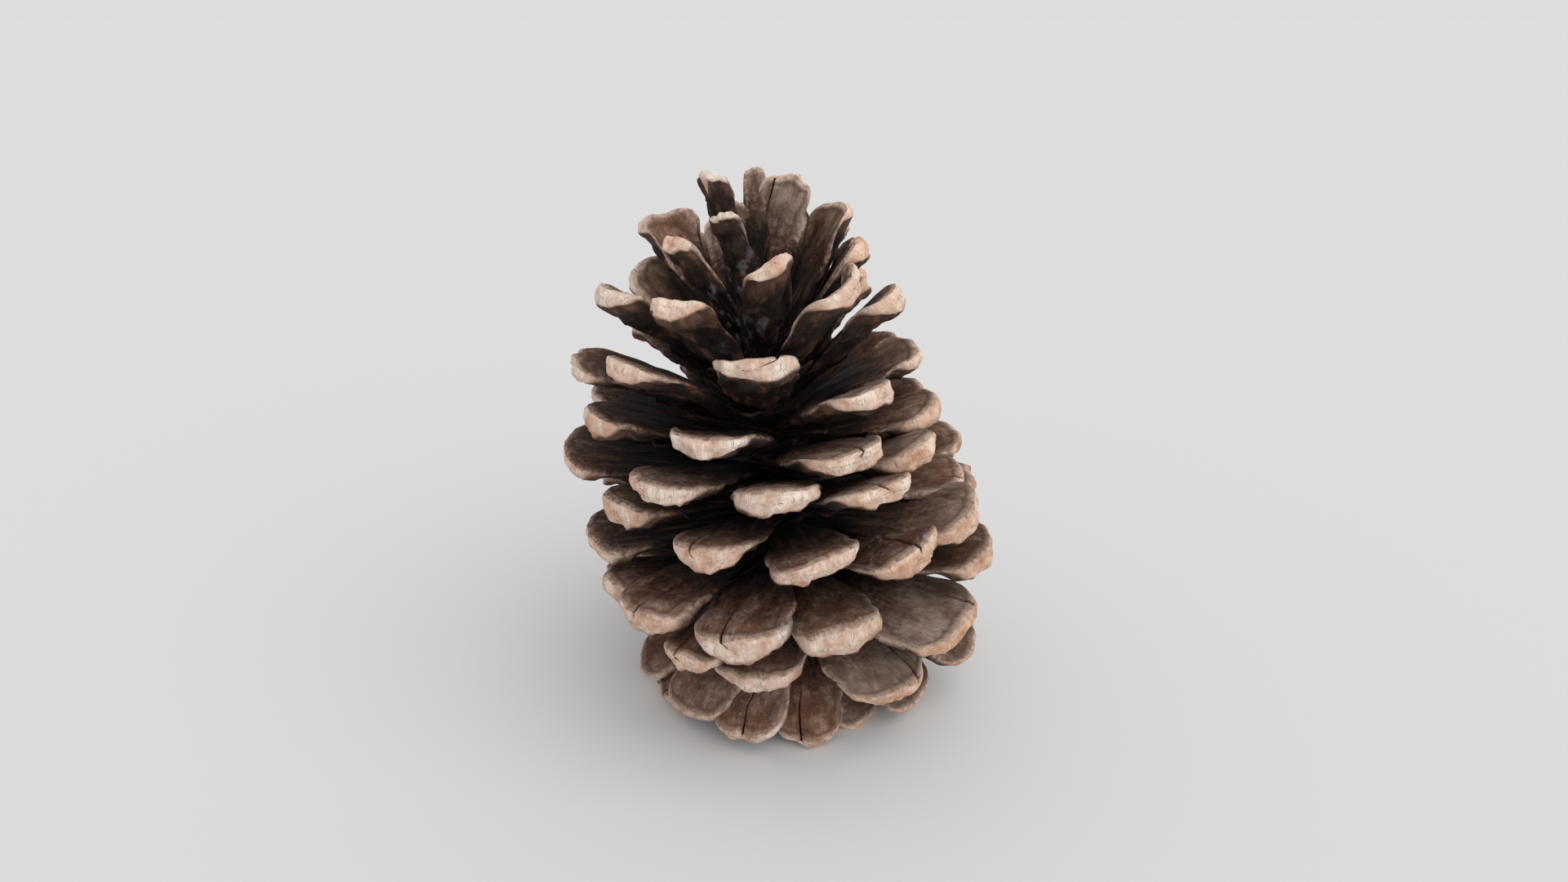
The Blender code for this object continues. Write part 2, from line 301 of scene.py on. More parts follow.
# %% [markdown]
# ## The skin of one scale
#
# A scale is a woody paddle: a narrow stem at the axis, a broad thin blade, and a thick end face
# with a small knob. It could be sculpted, or cut from a block. It is lofted here, because rings of
# points from root to end follow the growth of the real thing: each ring is a cross-section, the
# rings bend round the end as the blade does, and the last rings close in on the knob. A crack
# needs more points than plain wood, so a few extra points of every ring are gathered round it.

# %% Lay out the rings
TOP_POINTS = 30
UNDER_POINTS = 28
CRACK_OFFSETS = np.array((-0.06, -0.03, -0.011, 0.0, 0.011, 0.03, 0.06))
STEM_RINGS = np.linspace(0.0, 0.3, 7)[:-1]
BLADE_RINGS = np.linspace(0.3, 0.75, 15)[:-1]
RIM_RINGS = np.linspace(0.75, 0.94, 12)[:-1]
EDGE_RINGS = np.linspace(0.94, 1.0, 10)
END_RINGS = 15
EDGE_GATHERING = 1.6


def lay_out_ring(crack_place):
    """Places across the scale, from 1 over the top to -1 and back below, and each point's side."""
    top = np.cos(np.linspace(0, pi, TOP_POINTS))
    top = -np.sort(-np.concatenate((top, crack_place + CRACK_OFFSETS)))
    under = -np.cos(np.linspace(0, pi, UNDER_POINTS))[1:-1]
    across = np.concatenate((top, under))
    side = np.concatenate((np.ones(len(top)), -np.ones(len(under))))
    return across, side


ring_shares = np.concatenate((STEM_RINGS, BLADE_RINGS, RIM_RINGS, EDGE_RINGS, np.ones(END_RINGS)))
end_steps = np.zeros(len(ring_shares))
end_steps[-END_RINGS:] = (np.arange(1, END_RINGS + 1) / (END_RINGS + 0.5)) ** EDGE_GATHERING
points_round = len(lay_out_ring(0.0)[0])
print(len(ring_shares), "rings of", points_round, "points make one scale")

# %% [markdown]
# ## Cracks, curls and worn rims
#
# As a scale dries it splits along its grain, its corners curl up and its rim chips. Each of these
# could be a brush stroke in sculpt mode. Here they are small formulas over the scale's own
# coordinates, with sizes drawn once per scale, so that every scale differs and none is flat. What
# shows best on the real cone is listed by scale number: the place of a split across the scale, how
# deep it notches the rim, curled sides, big knobs, and scales that stayed whole.

# %% List the cracks and curls
CRACKS = {
    2: 0.0, 6: 0.6, 25: 0.55, 26: 0.3, 33: 0.55, 46: 0.25, 49: -0.35, 59: -0.1, 62: -0.3, 70: 0.1, 72: 0.1,
    75: -0.25, 83: -0.3, 93: 0.5, 96: 0.05, 101: -0.25,
}
CLEFTS = {2: 2.2, 25: 0.7, 26: 0.4, 59: 0.7, 70: 0.3}
CURLED = {6: (0.0, 0.3), 13: (0.4, 0.0), 28: (0.1, 0.2), 46: (0.2, 0.0)}
KNOBBED = {31: 0.6, 52: 1.0, 56: 0.6, 65: 1.0, 77: 0.6, 78: 0.6, 86: 0.8, 90: 0.6}
WHOLE = (54, 67, 80)
CRACK_CHANCE = 0.15
CRACK_DEPTH = (0.4, 0.75)
CRACK_START = (0.35, 0.65)
CRACK_SPREAD = 0.5
CURL = (-0.05, 0.35)
LIP = (0.85, 1.25)
SWAY = 0.7

print(len(CRACKS), "scales are listed with a crack")

# %% [markdown]
# ## Bleached, warm and resinous scales
#
# Rain and sun reach every scale differently. Some faces are bleached, some stay warm brown, some
# carry specks of old resin, and on this cone the scales at the right are greyer, with peach ends.
# One even colour would look like plastic, and a painted map would not fit another cone. So each
# scale gets a few shares from 0 to 1, listed where the photograph shows them and drawn elsewhere.

# %% Draw the wear of each scale
BLEACHED = {
    6: 0.95, 13: 0.7, 31: 0.15, 36: 0.25, 38: 0.7, 39: 0.1, 44: 0.1, 46: 0.7, 49: 0.4, 51: 0.8, 52: 0.0,
    56: 0.7, 57: 0.15, 59: 0.6, 60: 0.1, 62: 0.45, 64: 0.6, 65: 0.05, 67: 0.5, 70: 0.4, 72: 0.5, 73: 0.1,
    75: 0.55, 77: 0.15, 78: 0.15, 80: 0.65, 81: 0.1, 83: 0.45, 85: 0.8, 86: 0.3, 88: 0.5, 90: 0.1, 93: 0.75,
    94: 0.1, 96: 0.65, 98: 0.15, 101: 0.8,
}
WARMTH = {
    46: 0.3, 51: 0.2, 59: 0.3, 64: 0.3, 70: 0.8, 72: 1.0, 75: 0.75, 77: 0.9, 78: 0.8, 80: 0.7, 83: 1.0,
    85: 0.2, 86: 1.0, 88: 0.6, 91: 0.6, 93: 0.2, 96: 0.7, 99: 1.0, 101: 0.8,
}
RESINOUS = {7: 1.0, 15: 1.0, 20: 0.96, 28: 0.95, 62: 0.8, 67: 0.7, 72: 0.87, 75: 0.92, 80: 0.92, 96: 0.8}
TONE = (0.25, 0.75)
MOST_RESIN = 0.75
GREENNESS = (0.3, 1.0)
PEACH_SIDE = 0.5
PEACH_SPREAD = 0.35
RIGHT_SIDE = (0.1, 1.0)


def draw_wear(number, azimuth):
    """How one scale has dried and weathered."""
    draw = random.Random(SEED * LAST_SCALE + number)
    place = draw.uniform(-CRACK_SPREAD, CRACK_SPREAD)
    cracked = draw.random() < CRACK_CHANCE
    depth = draw.uniform(*CRACK_DEPTH)
    rightness = float(smooth(*RIGHT_SIDE, sin(azimuth)))
    curl_left, curl_right = CURLED.get(number, (0, 0))
    return {
        "crack_place": CRACKS.get(number, place),
        "crack_depth": depth if number in CRACKS or cracked and number not in WHOLE else 0.0,
        "crack_start": draw.uniform(*CRACK_START),
        "cleft": CLEFTS.get(number, 0.0),
        "curl_left": draw.uniform(*CURL) + curl_left,
        "curl_right": draw.uniform(*CURL) + curl_right,
        "knob": KNOBBED.get(number, 0.0),
        "lip": draw.uniform(*LIP),
        "sway": draw.uniform(-SWAY, SWAY),
        "tone": BLEACHED.get(number, draw.uniform(*TONE)),
        "warm": WARMTH.get(number, draw.random()),
        "resin": RESINOUS.get(number, draw.uniform(0.0, MOST_RESIN)),
        "green": rightness * draw.uniform(*GREENNESS),
        "peach": min(1.0, PEACH_SIDE * rightness + draw.uniform(0.0, PEACH_SPREAD)),
    }


print("scale 75 wears like this:", {k: round(v, 2) for k, v in draw_wear(75, 0.0).items()})

# %% [markdown]
# ## The cross-sections of a scale
#
# Each ring is a cross-section: thick under the middle, thin at the sides, swelling into the end
# face. A plain ellipse would be simpler, but the thin rounded sides are what makes a blade. Rings
# near the end are set back in an arc, which rounds the blade's outline. Some unevenness there gives
# the rim its corners and nicks, and the last rings shrink and bulge forward into the end face.

# %% Shape the cross-sections
STEM_SHARE = 0.5
STEM_END = 0.15
BLADE_START = 0.75
END_START = 0.62
STEM_THICKNESS = 2.2
BLADE_THICKNESS = 1.7
OUTLINE_WAVE = 0.08
BELLY_WAVE = 0.22
TOP_SHOULDER = 0.14
UNDER_SHOULDER = 0.08
SHOULDER_START = 0.955
CURL_START = 0.72
EDGE_WAVE = 0.35
END_ROUNDNESS = 0.85
END_POWER = 2.3
ROUNDING_ONSET = 3
END_SLANT = 0.25
CORNER_DEPTH = 1.0
NICK_DEPTH = 0.14
CLEFT_WIDTH = 0.16
FACE_RISE = 0.55
FACE_POWER = 2.8
EDGE_THINNING = 0.62
ROUND_EDGE = 0.86
EDGE_CLOSING = 0.97


def edge_profile(across):
    """Thickness across a scale, as a share of its middle: thinner to the sides, rounded at the edge."""
    past_edge = np.clip((np.abs(across) - ROUND_EDGE) / (1 - ROUND_EDGE), 0, 1)
    return (1 - EDGE_THINNING * across ** 2) * np.sqrt(1 - past_edge ** 2 * EDGE_CLOSING)


def section_height(scale, wear, share, across, side, closing, thickness, half_width):
    """How far each point lies above or below the scale's middle, with curls and a wavy edge."""
    number = scale["number"]
    spread = smooth(STEM_END, BLADE_START, share)
    swell = smooth(END_START, 1.0, share)
    place = across * closing
    belly_wave = BELLY_WAVE * scale_field(number, "belly", across * 1.8, 0.0, 0.0)
    belly = 1 + (wear["lip"] - 1 + belly_wave) * swell
    rounded = np.where(side > 0, TOP_SHOULDER, UNDER_SHOULDER)
    shoulder = 1 - rounded * smooth(SHOULDER_START, 1.0, share) ** 2
    up = np.where(side > 0, thickness / 2, -thickness / 2 * belly) * shoulder * closing
    curl = np.where(across < 0, wear["curl_left"], wear["curl_right"])
    curl = curl * np.clip(scale["cup"] * 6, 0.15, 1.0)
    lift = scale["cup"] * place ** 2 * spread + curl * np.abs(place) ** 3 * smooth(CURL_START, 1.0, share)
    wave = scale_field(number, "edge", share * 4, np.sign(across) * 2.5, 0.5) * np.abs(place) ** 2
    return up + lift * half_width + EDGE_WAVE * wave * smooth(0.3, 0.7, share)


def set_back(scale, wear, share, across, side, closing, thickness):
    """How far each point lies behind the scale's end: the round outline, its nicks and the end face."""
    number = scale["number"]
    place = across * closing
    rounding = 1 - (1 - np.abs(place) ** END_POWER) ** (1 / END_POWER)
    behind = scale["half_width"] * END_ROUNDNESS * rounding * share ** ROUNDING_ONSET
    slant = thickness * END_SLANT * smooth(END_START, 1.0, share)
    behind = behind + np.where(side < 0, slant, 0.0) * closing
    corners = np.abs(scale_field(number, "corner", place * 2.1, 1.5, 0.0))
    nicks = scale_field(number, "nick", place * 5.5, 1.5, side * 0.8)
    cleft = wear["cleft"] * ridge(place - wear["crack_place"], CLEFT_WIDTH)
    behind = behind + (CORNER_DEPTH * corners + NICK_DEPTH * nicks + cleft) * smooth(0.8, 1.0, share)
    return behind - FACE_RISE * edge_profile(place) * (1 - closing ** FACE_POWER) ** (1 / FACE_POWER)


def scale_section(scale, wear, share, across, side, step):
    """Where each point lies in its ring: set back from the end, sideways and up."""
    closing = 1 - step
    spread = smooth(STEM_END, BLADE_START, share)
    outline = scale_field(scale["number"], "outline", share * 6, np.sign(across) * 3.5, 0.0)
    half_width = scale["half_width"] * (STEM_SHARE + (1 - STEM_SHARE) * spread)
    half_width = half_width * (1 + OUTLINE_WAVE * outline * smooth(0.1, 0.5, share))
    body = STEM_THICKNESS + (BLADE_THICKNESS - STEM_THICKNESS) * spread
    swell = smooth(END_START, 1.0, share)
    thickness = (body + (scale["end_thickness"] - body) * swell) * edge_profile(across)
    up = section_height(scale, wear, share, across, side, closing, thickness, half_width)
    behind = set_back(scale, wear, share, across, side, closing, thickness)
    return behind, across * closing * half_width, up


print("half way to its side a scale is", round(float(edge_profile(0.5)), 2), "times as thick as its middle")

# %% [markdown]
# ## Bending the rings and setting them on the cone
#
# The centre line of a scale is an arch from the axis to the end face. A curve object could carry
# the rings, but the same arch is a few lines of arithmetic here, and it also gives the pitch that
# each ring needs to stand across it. The scale is then rolled, swung to its azimuth and leant with
# the whole cone.

# %% Lay a scale along its arch
def centre_line(scale, share):
    """Radius, height and pitch of the scale's middle line at a share of its length."""
    root = (axis_radius(scale["root_height"]) * ROOT_SINK, scale["root_height"])
    tip = (scale["tip_radius"], scale["tip_height"])
    run, rise = tip[0] - root[0], tip[1] - root[1]
    knee = (root[0] + run / 2 - rise * scale["bend"], root[1] + rise / 2 + run * scale["bend"])
    radius, height = [root[i] * (1 - share) ** 2 + knee[i] * 2 * share * (1 - share) + tip[i] * share ** 2
                      for i in (0, 1)]
    outward, upward = [(knee[i] - root[i]) * (1 - share) + (tip[i] - knee[i]) * share for i in (0, 1)]
    return radius, height, np.arctan2(upward, outward)


def round_axis(azimuth, radius, sideways, height):
    """Azimuth 0 faces the front, -Y; the whole cone then leans to its left."""
    x = sin(azimuth) * radius + cos(azimuth) * sideways
    y = -cos(azimuth) * radius + sin(azimuth) * sideways
    lean = radians(LEAN)
    return np.stack((x * cos(lean) - height * sin(lean), y, x * sin(lean) + height * cos(lean)), axis=-1)


def set_on_cone(scale, wear, share, behind, sideways, up):
    """Lays points given in a scale's own terms along its centre line, and the scale round the axis."""
    middle_radius, middle_height, pitch = centre_line(scale, share)
    roll = scale["roll"] * share
    rolled_up = up * np.cos(roll) + sideways * np.sin(roll)
    rolled_sideways = sideways * np.cos(roll) - up * np.sin(roll) + wear["sway"] * np.sin(pi * share)
    radius = middle_radius - behind * np.cos(pitch) - rolled_up * np.sin(pitch)
    height = middle_height - behind * np.sin(pitch) + rolled_up * np.cos(pitch)
    return round_axis(scale["azimuth"], radius, rolled_sideways, height)


front = describe_scale(FRONT_SCALE)
print("scale 54 ends at radius, height and pitch", [round(float(v), 2) for v in centre_line(front, 1.0)])

# %% [markdown]
# ## Marks on the surface
#
# The finer marks are small moves along the surface's own normal. On the upper face they are fibres,
# waves, a weak midrib and a groove inside the rim. Below there are deeper folds and a keel, and the
# end face has swellings, dents and a small knob. A bump map could fake them, but then the outline
# and the shadows would stay smooth. Depths are in millimetres, and grain sizes in waves per
# millimetre, across and along.

# %% Mark the surface
BLADE_LENGTH = 26.0
FACE_SHIFT = 5
GRAIN = {"fibre": (1.9, 0.16), "thread": (4.5, 0.25), "wave": (0.35, 0.25), "lump": (0.8, 0.6)}
FOLD_GRAIN = (0.7, 0.16)
FOLD_START = 4
DEPTH_ABOVE = {"fibre": 0.05, "thread": 0.03, "wave": 0.2, "lump": 0.09}
DEPTH_BELOW = {"fibre": 0.16, "thread": 0.04, "wave": 0.35, "lump": 0.35}
FOLD_DEPTH = 0.25
MIDRIB_HEIGHT = 0.18
RIM_SWELL = 0.10
RIM_GROOVE = 0.07
KEEL_HEIGHT = 0.45
END_GRAIN = {"swelling": (0.5, 0.6, 3.0), "rib": (1.9, 0.4, 7.0), "grit": (3.1, 2.2, 5.0)}
DEPTH_END = {"swelling": 0.22, "rib": 0.08, "grit": 0.05}
DENT_DEPTH = 0.35
KNOB_HEIGHT = 0.25
KNOB_LEVEL = -0.3
BIG_KNOB = 1.6


def rim_distance(scale, share, across):
    """Millimetres to the nearest edge of the blade, over its outer part."""
    side_gap = (1 - np.abs(across)) * scale["half_width"]
    return np.minimum((1 - share) * BLADE_LENGTH, np.where(share > 0.6, side_gap, BLADE_LENGTH))


def blade_marks(scale, share, across, side, behind, sideways):
    """Grain, midrib and rim of the upper face; folds and keel of the underside."""
    number = scale["number"]
    along = share * BLADE_LENGTH - behind
    face = side * FACE_SHIFT
    grain = {kind: scale_field(number, kind, sideways * wide, along * long, face)
             for kind, (wide, long) in GRAIN.items()}
    blade = smooth(0.2, 0.6, share)
    above = sum(DEPTH_ABOVE[kind] * grain[kind] for kind in GRAIN) * blade
    above = above + MIDRIB_HEIGHT * ridge(across, 0.09) * (1 - smooth(0.55, 0.9, share)) * blade
    rim = rim_distance(scale, share, across)
    lip = RIM_SWELL * ridge(rim - 0.5, 0.4) - RIM_GROOVE * ridge(rim - 1.35, 0.3)
    above = above + lip * smooth(0.6, 0.85, share)
    folds = scale_field(number, "fold", sideways * FOLD_GRAIN[0] + FOLD_START, along * FOLD_GRAIN[1], face)
    below = sum(DEPTH_BELOW[kind] * grain[kind] for kind in GRAIN) + FOLD_DEPTH * (1 - np.abs(folds)) ** 6
    keel = KEEL_HEIGHT * ridge(across, 0.3) * (1 - smooth(0.75, 0.95, share)) * smooth(0.05, 0.3, share)
    return np.where(side > 0, above, below + keel)


def end_marks(scale, wear, sideways, up):
    """Swellings, ribs, dents and the small knob of the end face."""
    number = scale["number"]
    uneven = sum(DEPTH_END[kind] * scale_field(number, kind, sideways * wide, up * high, start)
                 for kind, (wide, high, start) in END_GRAIN.items())
    dent = np.minimum(0, scale_field(number, "dent", sideways * 0.9 + 7, up * 0.9, 2.0) + 0.35)
    knob = ridge(sideways - wear["sway"], 0.75) * ridge(up - KNOB_LEVEL * scale["end_thickness"], 0.5)
    return uneven + DENT_DEPTH * dent + KNOB_HEIGHT * (knob * (1 + BIG_KNOB * wear["knob"]))


print("the upper grain is up to", round(sum(DEPTH_ABOVE.values()), 2), "mm deep")

# %% [markdown]
# ## Cracks, and one whole scale
#
# A crack opens from the end and runs back along the grain, so it is a narrow groove at one place
# across the scale. Cutting it with a Boolean would leave a mesh that is hard to shade. Pressing in
# the points gathered round it keeps the rings whole. The scale's points are then complete, and with
# them go the facts that the wood finish will need.

# %% Put one scale together
CRACK_WIDTH = 0.016
CRACK_FLARE = 0.014
CRACK_WANDER = 0.05
FIGURE_STEP = 37.0


def crack_marks(wear, share, across, side, step):
    """How deep in the crack each point lies, from 0 to 1."""
    crack = ridge(across - wear["crack_place"], CRACK_WIDTH + CRACK_FLARE * smooth(0.8, 1.0, share))
    opening = smooth(wear["crack_start"], wear["crack_start"] + 0.2, share)
    crack = crack * opening * (1 - smooth(0.3, 0.9, step))
    return np.where(side > 0, crack, 0.0) * (wear["crack_depth"] > 0)


def skin_normals(places):
    """Outward normals of a grid of rings, from the steps along and round it."""
    along = np.gradient(places, axis=0)
    round_ring = np.roll(places, -1, axis=1) - np.roll(places, 1, axis=1)
    normals = np.cross(round_ring, along)
    lengths = np.linalg.norm(normals, axis=-1, keepdims=True)
    normals = normals / np.maximum(lengths, 1e-9)
    middle = places.mean(axis=1, keepdims=True)
    if np.sum(normals * (places - middle)) < 0:
        normals = -normals
    return normals


def shape_scale(number):
    """The points of one scale, with what the wood finish needs to know about each."""
    scale = describe_scale(number)
    wear = draw_wear(number, scale["azimuth"])
    across_ring, side_ring = lay_out_ring(wear["crack_place"])
    share, across = np.meshgrid(ring_shares, across_ring, indexing="ij")
    step, side = np.meshgrid(end_steps, side_ring, indexing="ij")
    wander = CRACK_WANDER * scale_field(number, "wander", share * 11, 0.0, 0.0) * smooth(0.3, 0.6, share)
    seen_across = across + wander * (1 - across ** 2)
    behind, sideways, up = scale_section(scale, wear, share, seen_across, side, step)
    places = set_on_cone(scale, wear, share, behind, sideways, up)
    on_end = smooth(0.0, 0.25, step)
    crack = crack_marks(wear, share, across, side, step)
    move = blade_marks(scale, share, across, side, behind, sideways) * (1 - on_end)
    move = move + end_marks(scale, wear, sideways, up) * on_end - crack * wear["crack_depth"]
    places = places + skin_normals(places) * move[..., None]
    same = np.ones_like(share)
    facts = {
        "wood_place": (sideways + number * FIGURE_STEP, share * BLADE_LENGTH - behind, up),
        "zone": (share, smooth(0.0, 0.1, step), np.clip(side * 0.5 + 0.5, 0, 1)),
        "wear": (same * wear["tone"], same * wear["warm"], crack),
        "rim": (rim_distance(scale, share, across) * (step == 0), step, same * wear["resin"]),
        "tint": (same * wear["green"], same * wear["peach"], same * number / LAST_SCALE),
    }
    return places, {name: np.stack(values, axis=-1) for name, values in facts.items()}


sample = shape_scale(FRONT_SCALE)[0]
print("scale 54 has", sample.shape[0] * sample.shape[1], "points")

# %% [markdown]
# ## From rings to meshes
#
# A tube of rings becomes a mesh when each ring is joined to the next by four-sided faces, and both
# ends are closed. A modifier could build it from a curve, but here the points are already known.
# Each point also carries a few facts as named attributes: how far along the scale it is, whether it
# is on the end face or the underside, how far from the rim, how deep in a crack. The wood finish
# reads them later, which lets one material serve every scale.

# %% Turn tubes into meshes
def tube_faces(rings, points, start=0):
    """Quads between the rings of a tube, and a cap at each end, counted from its first point."""
    here = np.arange(points)
    after = np.roll(here, -1)
    faces = []
    for ring in range(rings - 1):
        low = start + ring * points
        high = low + points
        faces += np.stack((low + here, low + after, high + after, high + here), axis=1).tolist()
    faces.append((start + here[::-1]).tolist())
    faces.append((start + here + (rings - 1) * points).tolist())
    return faces


def add_mesh(name, points, faces, facts):
    mesh = bpy.data.meshes.new(name)
    mesh.from_pydata(points.tolist(), [], faces)
    for fact, values in facts.items():
        stored = mesh.attributes.new(fact, "FLOAT_VECTOR", "POINT")
        stored.data.foreach_set("vector", values.astype(np.float32).ravel())
    thing = bpy.data.objects.new(name, mesh)
    bpy.context.scene.collection.objects.link(thing)
    return thing


print("the tube of one scale has", len(tube_faces(len(ring_shares), points_round)), "faces")

# %% [markdown]
# ## Growing the six bands
#
# A hundred separate objects would be slow to handle, and one mesh would be too heavy. So the scales
# go into six meshes, one for each band of the cone. The outermost points are pressed softly back,
# so that fine marks stay inside the solid's box. Shrinking whole pieces would do it too, but that
# moves every point, and this moves only those in the last millimetre or beyond.

# %% Grow the bands
BANDS = {
    "tip_scales": (0, 30),
    "upper_scales": (31, 52),
    "middle_scales": (53, 73),
    "lower_scales": (74, 92),
    "foot_scales": (93, 107),
    "under_scales": (108, LAST_SCALE),
}
SOFT_MARGIN = 1.0


def soften(excess):
    """How much of an excess stays: nearly all of a small one, never more than the margin."""
    return SOFT_MARGIN * (1 - np.exp(-excess / SOFT_MARGIN))


def ease_inside(points):
    """Presses the outermost points softly back, so that the skin stays inside the solid's box."""
    for i in range(3):
        high = solid_high[i] / MM - SOFT_MARGIN
        low = solid_low[i] / MM + SOFT_MARGIN
        over = np.maximum(points[:, i] - high, 0)
        points[:, i] = np.where(over > 0, high + soften(over), points[:, i])
        if i < 2:
            under = np.maximum(low - points[:, i], 0)
            points[:, i] = np.where(under > 0, low - soften(under), points[:, i])
    return points


def grow_piece(name, numbers, shape):
    """One mesh out of the tubes that the shape function makes for these scale numbers."""
    points, faces, facts = [], [], {}
    for number in numbers:
        places, told = shape(number)
        rings, round_count = places.shape[:2]
        faces += tube_faces(rings, round_count, sum(len(p) for p in points))
        points.append(places.reshape(-1, 3))
        for fact, values in told.items():
            facts.setdefault(fact, []).append(values.reshape(-1, 3))
    points = ease_inside(np.concatenate(points)) * MM
    facts = {fact: np.concatenate(values) for fact, values in facts.items()}
    return add_mesh(name, points, faces, facts)


bands = {}
for name, (first, last) in BANDS.items():
    bands[name] = grow_piece(name, [n for n in grown if first <= n <= last], shape_scale)
for name, band in bands.items():
    print(name, "has", sum(len(p.vertices) - 2 for p in band.data.polygons), "triangles")

# %% [markdown]
# ## The flat foot
#
# The lowest scales bend under the cone and carry it. On the solid they are cut level where they
# meet the table, and the fine skin must end at the same height. Bisect cuts a mesh with a plane and
# throws one side away; the open outlines are then filled, so that the meshes stay closed.

# %% Cut the foot level
def cut_level(thing):
    shape = bmesh.new()
    shape.from_mesh(thing.data)
    everything = shape.verts[:] + shape.edges[:] + shape.faces[:]
    cut = bmesh.ops.bisect_plane(shape, geom=everything, plane_co=(0, 0, 0), plane_no=(0, 0, 1),
                                 clear_inner=True)
    rim = [part for part in cut["geom_cut"] if isinstance(part, bmesh.types.BMEdge)]
    bmesh.ops.holes_fill(shape, edges=rim, sides=0)
    shape.to_mesh(thing.data)
    shape.free()
    return len(rim)


for name in ("lower_scales", "foot_scales", "under_scales"):
    print(name, "was cut along", cut_level(bands[name]), "edges")

# %% [markdown]
# ## The woody axis
#
# The axis is the core that all stems grow from. It shows only deep between the scales, and below,
# as the scar where the cone broke from its stalk. A plain turned shape carries it, roughened by
# the same unevenness. It leans with the cone, but its lowest rings are level, so that the scar
# lies flat like the lowest scales. Its wood is that of the undersides.

# %% Turn the axis
AXIS_ROUND = 96
AXIS_RINGS = 140
AXIS_LUMPS = (4, 0.5, 0.05)
AXIS_GRIT = (12, 1.5, 0.03)
LEVEL_BELOW = 8
FAR_FROM_RIM = 9.0
AXIS_FACTS = {
    "zone": (0.7, 0.0, 0.0),
    "wear": (0.2, 0.5, 0.0),
    "rim": (FAR_FROM_RIM, 0.0, 0.9),
    "tint": (0.0, 0.3, 0.3),
}


def axis_unevenness(kind, field, angle, height):
    """Lumps or grit round the axis: how fine round it, how fine along it, and how strong."""
    round_it, along_it, strength = kind
    ring = (np.cos(angle) * round_it, np.sin(angle) * round_it)
    return strength * unevenness(*ring, height * along_it, field)


def shape_axis():
    heights = np.linspace(0.0, AXIS_PROFILE[-1][0], AXIS_RINGS)
    radii = np.array([axis_radius(h) for h in heights])
    angles = np.linspace(0, 2 * pi, AXIS_ROUND, endpoint=False)
    height, angle = np.meshgrid(heights, angles, indexing="ij")
    radius = np.repeat(radii[:, None], AXIS_ROUND, axis=1)
    lumps = axis_unevenness(AXIS_LUMPS, 11, angle, height)
    grit = axis_unevenness(AXIS_GRIT, 12, angle, height)
    radius = radius * (1 + lumps + grit)
    lean = radians(LEAN)
    x = radius * np.cos(angle)
    tilt = x * sin(lean) * smooth(0, LEVEL_BELOW, height)
    points = (x * cos(lean) - height * sin(lean), radius * np.sin(angle), tilt + height * cos(lean))
    return np.stack(points, axis=-1)


def build_axis():
    flat = shape_axis().reshape(-1, 3)
    facts = {"wood_place": flat[:, [0, 2, 1]]}
    for fact, values in AXIS_FACTS.items():
        facts[fact] = np.tile(values, (len(flat), 1))
    return add_mesh("woody_axis", flat * MM, tube_faces(AXIS_RINGS, AXIS_ROUND), facts)


axis = build_axis()
print("the axis is", round(max(v.co.z for v in axis.data.vertices) / MM, 1), "mm tall")

# %% [markdown]
# ## Bracts between the scales
#
# Under every scale of a real cone sits a bract, a thin papery tongue that hugs the stem. In an old
# cone they are dark and ragged, and they fill the gaps near the axis. Here they take the near-black
# wood of the undersides, so they are partly real bracts and partly dark sheets of painted shade in
# those gaps. They could be left out, as they show only as scraps in the shade, but without them the
# inside looks too clean. Each is a flat tapering tube, bent a little away from its scale. The scales
# nearest the tip go without. One bract is longer than the rest: it covers a small hole through
# which the pale floor would shine.

# %% Grow the bracts
FIRST_BRACT = 20
BRACT_RINGS = 14
BRACT_POINTS = 12
BRACT_START = 0.02
BRACT_REACH = (0.45, 0.62)
LONG_BRACTS = {44: 1.25}
BRACT_WIDTH = 0.85
BRACT_TAPER = 0.7
BRACT_RAGGEDNESS = 0.35
BRACT_THICKNESS = 0.4
BRACT_DEPTH = 0.7
BRACT_CURVE = 0.08
BRACT_BEND = (0.3, 1.8)
BRACT_SKEW = 1.5
BRACT_WAVE = 0.5
BRACT_SHARE = 0.6
BRACT_FIGURE = 17


def shape_bract(number):
    scale = describe_scale(number)
    wear = draw_wear(number, scale["azimuth"])
    draw = random.Random(SEED + number)
    reach = draw.uniform(*BRACT_REACH) * LONG_BRACTS.get(number, 1)
    bend = draw.uniform(*BRACT_BEND)
    skew = draw.uniform(-BRACT_SKEW, BRACT_SKEW)
    turns = np.linspace(0, 2 * pi, BRACT_POINTS, endpoint=False)
    along, turn = np.meshgrid(np.linspace(BRACT_START, 1, BRACT_RINGS), turns, indexing="ij")
    edge = scale_field(number, "bract edge", along * 5, np.sign(np.cos(turn)) * 2.5, 0.0)
    ragged = 1 + BRACT_RAGGEDNESS * edge
    width = BRACT_WIDTH * scale["half_width"] * (1 - BRACT_TAPER * along ** 4) * ragged
    sideways = np.cos(turn) * width + skew * along ** 2
    wave = BRACT_WAVE * scale_field(number, "bract wave", sideways * 0.7, along * 4, 0.0)
    drop = STEM_THICKNESS * BRACT_DEPTH
    up = np.sin(turn) * BRACT_THICKNESS / 2 - drop - bend * along ** 2 + wave * along
    up = up + BRACT_CURVE * sideways ** 2
    places = set_on_cone(scale, wear, along * reach, np.zeros_like(along), sideways, up)
    flat = np.zeros_like(along)
    figure_start = number * FIGURE_STEP + BRACT_FIGURE
    facts = {
        "wood_place": (sideways + figure_start, along * reach * BLADE_LENGTH, up),
        "zone": (BRACT_SHARE * along, flat, flat),
        "wear": (flat + wear["tone"], flat + wear["warm"], flat),
        "rim": (flat + FAR_FROM_RIM, flat, flat),
        "tint": (flat, flat + wear["peach"], flat + number / LAST_SCALE),
    }
    return places, {name: np.stack(values, axis=-1) for name, values in facts.items()}
